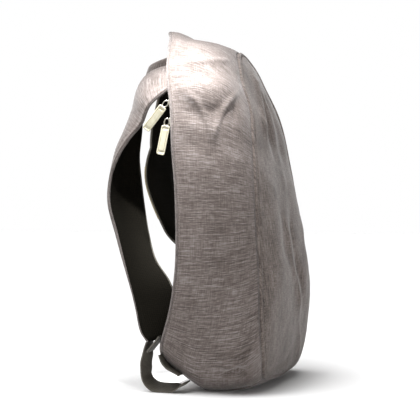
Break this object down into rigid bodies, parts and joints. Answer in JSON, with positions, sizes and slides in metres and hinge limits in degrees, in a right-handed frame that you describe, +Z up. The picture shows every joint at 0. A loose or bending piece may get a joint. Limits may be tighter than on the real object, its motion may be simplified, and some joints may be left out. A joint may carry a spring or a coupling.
{
  "type": "backpack",
  "caption": "Slim anti-theft backpack in marled grey fabric, standing on its base, with a zip on the wearer's side, bar pullers, arched padded shoulder straps and a grab handle",
  "frame": {"origin": "on the floor plane, under the middle of the bounding box", "axes": "+Z up, the outer front faces -Y, the wearer's back is at +Y, the wearer's left strap is at -X"},
  "size_m": [0.2888, 0.2354, 0.4674],
  "materials": {
    "marl": "marled slub weave",
    "piping": "woven tape over cord",
    "mesh": "dark spacer mesh",
    "webbing": "ribbed webbing",
    "coil": "nylon zip",
    "puller": "cream enamel, satin",
    "steel": "bright wire"
  },
  "bodies": {
    "root": {"side_band": "marl", "base_panel": "marl", "front_panel": "marl", "back_panel": "mesh", "back_piping": "piping", "front_piping": "piping", "zip_tape_outer": "coil", "zip_coil": "coil", "zip_tape_inner": "coil", "upper_pull_slider": "steel", "upper_pull_wire": "steel", "upper_pull_bar": "puller", "lower_pull_slider": "steel", "lower_pull_wire": "steel", "lower_pull_bar": "puller", "left_strap_cover": "marl", "left_strap_lining": "mesh", "left_webbing": "webbing", "right_strap_cover": "marl", "right_strap_lining": "mesh", "right_webbing": "webbing", "grab_handle": "marl"}
  },
  "joints": []
}
